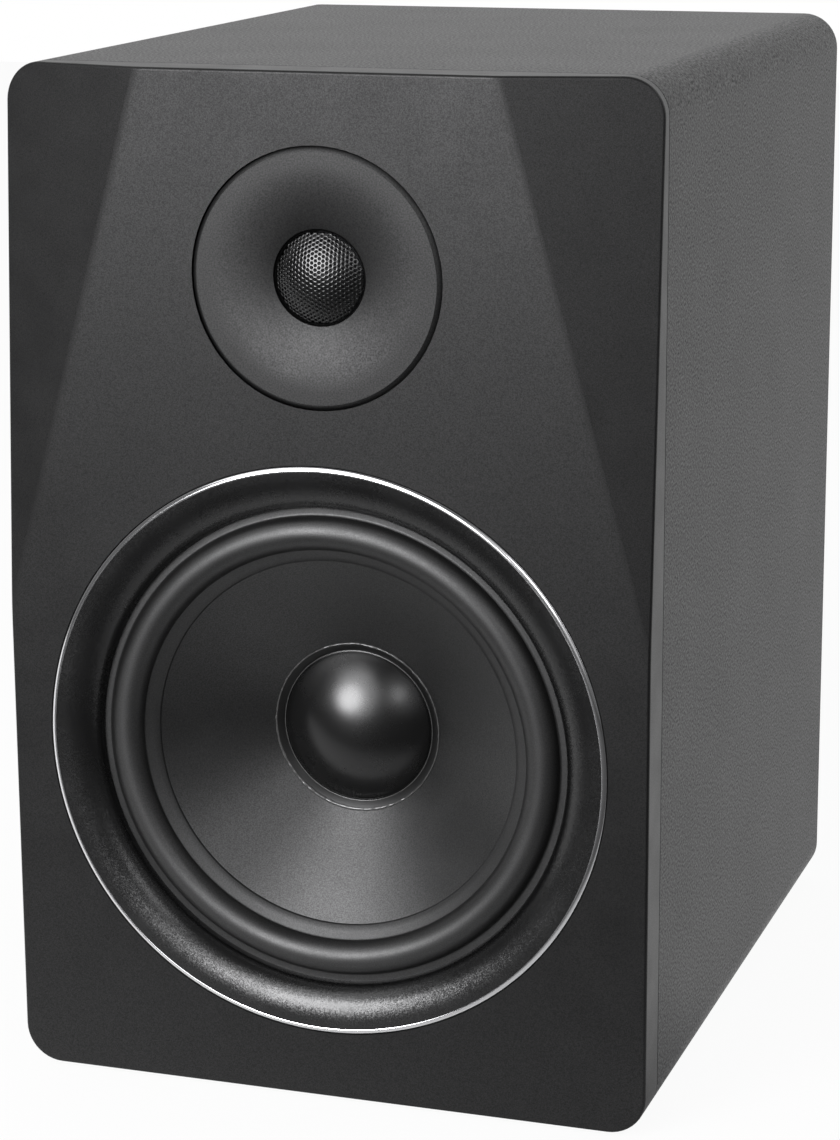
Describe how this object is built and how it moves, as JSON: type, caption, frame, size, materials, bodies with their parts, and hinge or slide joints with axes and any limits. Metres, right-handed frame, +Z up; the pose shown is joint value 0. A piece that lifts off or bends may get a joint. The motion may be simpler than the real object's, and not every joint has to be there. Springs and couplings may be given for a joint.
{
  "type": "bookshelf speaker",
  "caption": "Passive two-way bookshelf speaker: wrapped box, faceted baffle, cone woofer in a trim ring, dome tweeter behind a domed grille, rear port and binding posts.",
  "frame": {"origin": "middle of the footprint, on the surface that the feet stand on", "axes": "+X to the right seen from the front, -Y out of the front of the baffle, +Z up"},
  "size_m": [0.258, 0.3212, 0.402],
  "materials": {
    "vinyl": "fine-grained matt vinyl film",
    "mdf": "raw fibreboard",
    "baffle_paint": "satin black paint on fibreboard",
    "rear_paint": "matt black paint on fibreboard",
    "rubber": "matt rubber",
    "gasket_foam": "closed-cell foam",
    "wadding": "white polyester wadding",
    "black_steel": "black coated steel",
    "bright_bezel": "polished bevel",
    "trim_plastic": "black moulding with a fine metallic speckle",
    "surround_rubber": "satin butyl rubber",
    "cone": "fine-grained matt cone",
    "dust_cap": "soft gloss",
    "copper": "enamelled copper",
    "former": "aluminium foil",
    "spider_cloth": "varnished cotton",
    "motor_steel": "zinc-plated steel",
    "ferrite": "sintered ferrite",
    "phenolic": "phenolic board",
    "waveguide_plastic": "satin black moulding",
    "silk": "doped silk",
    "black_plastic": "black moulding",
    "terminal_metal": "gold-flashed brass",
    "red_plastic": "clear red moulding",
    "nut_black": "black moulding",
    "zinc": "zinc-plated steel",
    "board": "printed circuit board",
    "coil": "enamelled copper on a bobbin",
    "film_capacitor": "wrapped film capacitor",
    "cement": "cement-cased resistor",
    "wire": "insulated stranded wire"
  },
  "bodies": {
    "cabinet": {"binding_post_black": "terminal_metal", "binding_post_red": "terminal_metal", "board_screws": "zinc", "board_spacers": "black_plastic", "bottom_panel": "mdf", "crossover_board": "board", "front_baffle": "baffle_paint", "input_wires": "wire", "left_side_panel": "mdf", "lower_wadding": "wadding", "padding_resistor": "cement", "port_tube": "black_plastic", "post_back_nuts": "zinc", "rear_panel": "rear_paint", "right_side_panel": "mdf", "rubber_feet": "rubber", "terminal_cup": "black_plastic", "terminal_cup_screws": "black_steel", "top_panel": "mdf", "tweeter_capacitor": "film_capacitor", "tweeter_gasket": "gasket_foam", "tweeter_grille": "black_steel", "tweeter_inductor": "coil", "tweeter_magnet": "ferrite", "tweeter_pole_piece": "motor_steel", "tweeter_rear_chamber": "black_plastic", "tweeter_screws": "black_steel", "tweeter_terminals": "terminal_metal", "tweeter_top_plate": "motor_steel", "tweeter_waveguide": "waveguide_plastic", "tweeter_wires": "wire", "upper_wadding": "wadding", "vinyl_wrap": "vinyl", "window_brace": "mdf", "woofer_basket": "black_steel", "woofer_bezel": "bright_bezel", "woofer_capacitor": "film_capacitor", "woofer_gasket": "gasket_foam", "woofer_inductor": "coil", "woofer_magnet": "ferrite", "woofer_pole_piece": "motor_steel", "woofer_screws": "black_steel", "woofer_terminal_strip": "phenolic", "woofer_top_plate": "motor_steel", "woofer_trim_ring": "trim_plastic", "woofer_wires": "wire"},
    "woofer_diaphragm": {"woofer_cone": "cone", "woofer_dust_cap": "dust_cap", "voice_coil_former": "former", "voice_coil_winding": "copper", "woofer_surround": "surround_rubber", "woofer_spider": "spider_cloth", "tinsel_leads": "copper"},
    "tweeter_diaphragm": {"tweeter_dome": "silk", "tweeter_suspension": "silk", "tweeter_voice_coil": "copper"},
    "red_washer": {"clamp_washer_red": "terminal_metal"},
    "red_nut": {"thumb_nut_red": "red_plastic"},
    "black_washer": {"clamp_washer_black": "terminal_metal"},
    "black_nut": {"thumb_nut_black": "nut_black"}
  },
  "joints": [
    {"name": "woofer_travel", "type": "slide", "parent": "cabinet", "child": "woofer_diaphragm", "axis": [0, -1, 0], "range_m": [-0.006, 0.006], "stiffness_N_per_m": 1500, "deforming": ["woofer_surround", "woofer_spider", "tinsel_leads"]},
    {"name": "tweeter_travel", "type": "slide", "parent": "cabinet", "child": "tweeter_diaphragm", "axis": [0, -1, 0], "range_m": [-0.0004, 0.0004], "stiffness_N_per_m": 2000, "deforming": ["tweeter_suspension"]},
    {"name": "red_washer_slide", "type": "slide", "parent": "cabinet", "child": "red_washer", "axis": [0, 1, 0], "range_m": [0, 0.004]},
    {"name": "red_nut_turn", "type": "hinge", "parent": "red_washer", "child": "red_nut", "pos_m": [-0.015, 0.13765, 0.11], "axis": [0, 1, 0], "range_deg": [0, 1800]},
    {"name": "black_washer_slide", "type": "slide", "parent": "cabinet", "child": "black_washer", "axis": [0, 1, 0], "range_m": [0, 0.004]},
    {"name": "black_nut_turn", "type": "hinge", "parent": "black_washer", "child": "black_nut", "pos_m": [0.015, 0.13765, 0.11], "axis": [0, 1, 0], "range_deg": [0, 1800]}
  ],
  "couplings": [
    {"joint": "red_nut_turn", "follows": "red_washer_slide", "rad_per_m": 7854},
    {"joint": "black_nut_turn", "follows": "black_washer_slide", "rad_per_m": 7854}
  ]
}
